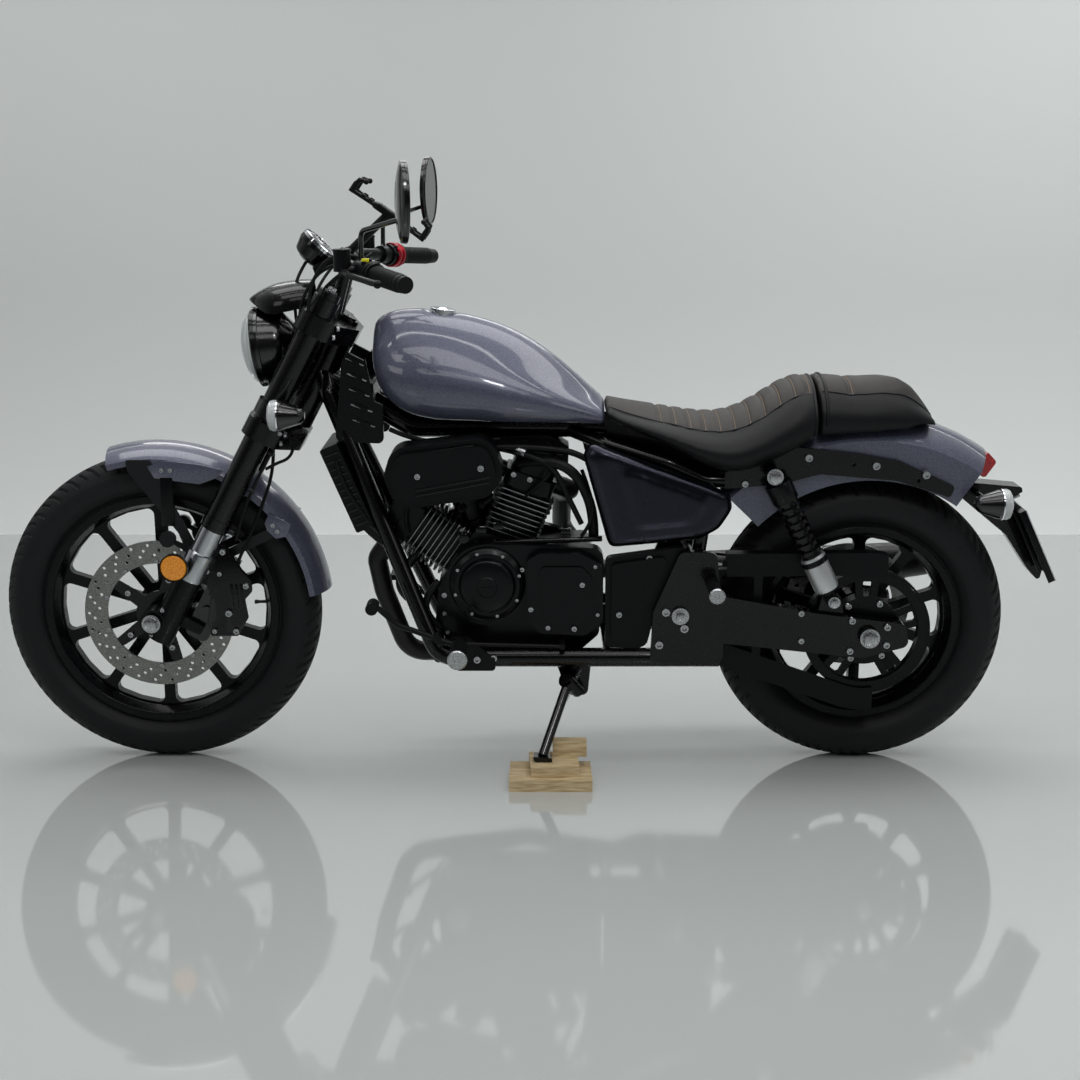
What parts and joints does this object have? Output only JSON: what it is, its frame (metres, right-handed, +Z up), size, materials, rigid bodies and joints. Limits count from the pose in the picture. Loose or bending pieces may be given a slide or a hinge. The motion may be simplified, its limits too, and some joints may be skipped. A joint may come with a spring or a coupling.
{
  "type": "cruiser motorcycle",
  "caption": "Cruiser motorcycle with wide cast wheels, V-twin engine, belt drive and staggered mufflers, leaning on its side stand over a low block plinth; front end steers, wheels turn, stand folds.",
  "frame": {"origin": "On the ground, at the middle of the bounding box's base.", "axes": "+X to the rear of the motorcycle, along its length; +Y to the rider's right; +Z up. The machine leans 7 degrees to its left, towards -Y, on its side stand."},
  "size_m": [2.2453, 0.8067, 1.3226],
  "materials": {
    "frame_black": "gloss",
    "paint_grey": "gloss metallic",
    "engine_black": "satin",
    "chrome": "polished",
    "steel": "brushed",
    "alloy": "satin",
    "black_plastic": "matte",
    "gloss_plastic": "gloss",
    "rubber": "matte",
    "tyre": "matte",
    "seat_cover": "satin",
    "clear_lens": "clear",
    "red_lens": "gloss",
    "plate_white": "matte",
    "wood": "bare"
  },
  "bodies": {
    "chassis": {"air_cleaner": "black_plastic", "belt_case": "black_plastic", "belt_guards": "black_plastic", "crankcase": "engine_black", "drive_belt": "rubber", "engine_covers": "engine_black", "exhaust": "engine_black", "fender_struts": "frame_black", "foot_controls": "rubber", "front_cylinder": "engine_black", "front_pulley": "alloy", "fuel_cap": "chrome", "fuel_tank": "paint_grey", "main_frame": "frame_black", "neck_cowl": "paint_grey", "number_plate": "plate_white", "passenger_pegs": "rubber", "pillion_seat": "seat_cover", "pivot_pin": "steel", "plate_bracket": "frame_black", "radiator": "black_plastic", "rear_axle": "steel", "rear_caliper": "gloss_plastic", "rear_cylinder": "engine_black", "rear_fender": "paint_grey", "rear_indicators": "gloss_plastic", "rider_seat": "seat_cover", "shock_springs": "steel", "shocks": "alloy", "side_covers": "gloss_plastic", "stand_blocks": "wood", "swingarm": "frame_black", "tail_light": "red_lens"},
    "fork": {"triple_clamps": "frame_black", "fork_outers": "frame_black", "fork_inners": "chrome", "fork_feet": "frame_black", "front_axle": "steel", "handlebar": "frame_black", "grips": "rubber", "hand_controls": "black_plastic", "mirrors": "chrome", "gauge": "chrome", "headlight_shell": "gloss_plastic", "headlight_lens": "clear_lens", "headlight_visor": "black_plastic", "front_fender": "paint_grey", "fender_stays": "frame_black", "front_indicators": "gloss_plastic", "front_caliper": "gloss_plastic", "phone_cradle": "black_plastic"},
    "front_wheel_body": {"front_tyre": "tyre", "front_wheel": "engine_black", "front_disc": "steel"},
    "rear_wheel_body": {"rear_tyre": "tyre", "rear_wheel": "engine_black", "rear_pulley": "engine_black", "rear_disc": "steel"},
    "stand": {"side_stand": "frame_black"}
  },
  "joints": [
    {"name": "steering", "type": "hinge", "parent": "chassis", "child": "fork", "pos_m": [-0.48126, 0.05025, 0.74208], "axis": [0.4695, -0.1076, 0.8764], "range_deg": [-36, 36]},
    {"name": "front_wheel_spin", "type": "hinge", "parent": "fork", "child": "front_wheel_body", "pos_m": [-0.78269, 0.09986, 0.33797], "axis": [0, 0.9925, 0.1219], "continuous": true},
    {"name": "rear_wheel_spin", "type": "hinge", "parent": "chassis", "child": "rear_wheel_body", "pos_m": [0.72231, 0.10291, 0.31315], "axis": [0, 0.9925, 0.1219], "continuous": true},
    {"name": "side_stand_fold", "type": "hinge", "parent": "chassis", "child": "stand", "pos_m": [0.09281, -0.0256, 0.19461], "axis": [0.5032, 0.6381, -0.5828], "range_deg": [-100, 0]}
  ]
}
